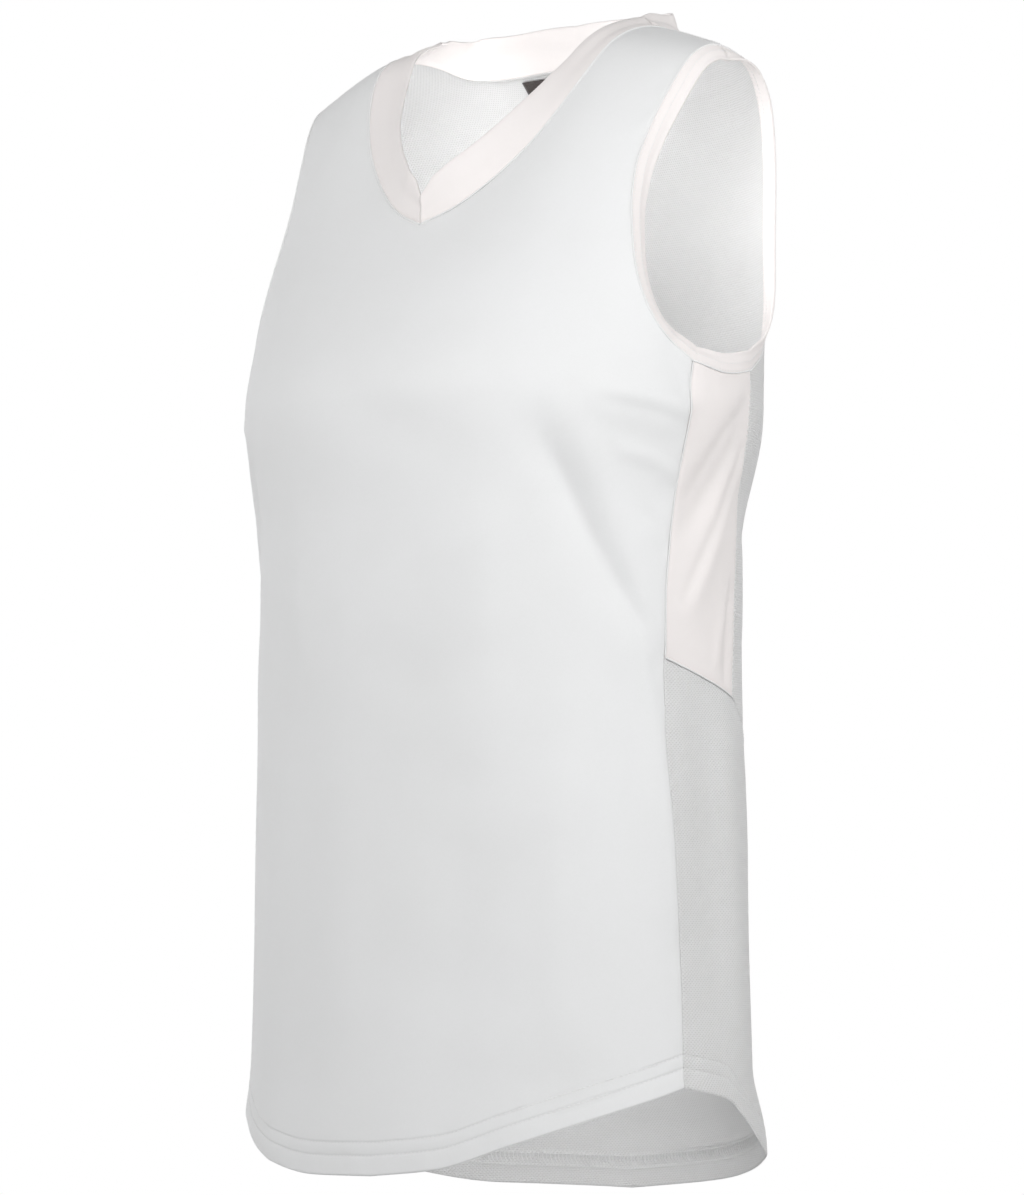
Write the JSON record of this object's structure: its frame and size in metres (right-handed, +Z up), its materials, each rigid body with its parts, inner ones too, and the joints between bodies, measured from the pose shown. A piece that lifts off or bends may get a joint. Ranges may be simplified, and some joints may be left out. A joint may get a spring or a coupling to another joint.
{
  "type": "softball jersey",
  "caption": "Sleeveless V-neck softball jersey for women, filled out as worn, with bound armholes, contrast side inserts and a mesh back with a longer tail.",
  "frame": {"origin": "midway between the two points where the shoulder seams meet the neck seam", "axes": "+X to the wearer's left, -Y to the front, +Z up"},
  "size_m": [0.342, 0.2475, 0.7051],
  "materials": {
    "smooth_knit": "smooth knit with a soft sheen",
    "back_mesh": "fine mesh knit, matte",
    "trim_knit": "smooth knit, soft and slightly warm",
    "label_satin": "plain dark satin ribbon"
  },
  "bodies": {
    "root": {"front_panel": "smooth_knit", "back_upper": "back_mesh", "back_lower": "back_mesh", "side_insert_left": "trim_knit", "side_insert_right": "trim_knit", "armhole_binding_left": "trim_knit", "armhole_binding_right": "trim_knit", "neckband_front_left": "trim_knit", "neckband_front_right": "trim_knit", "neckband_back": "trim_knit", "neck_label": "label_satin"}
  },
  "joints": []
}
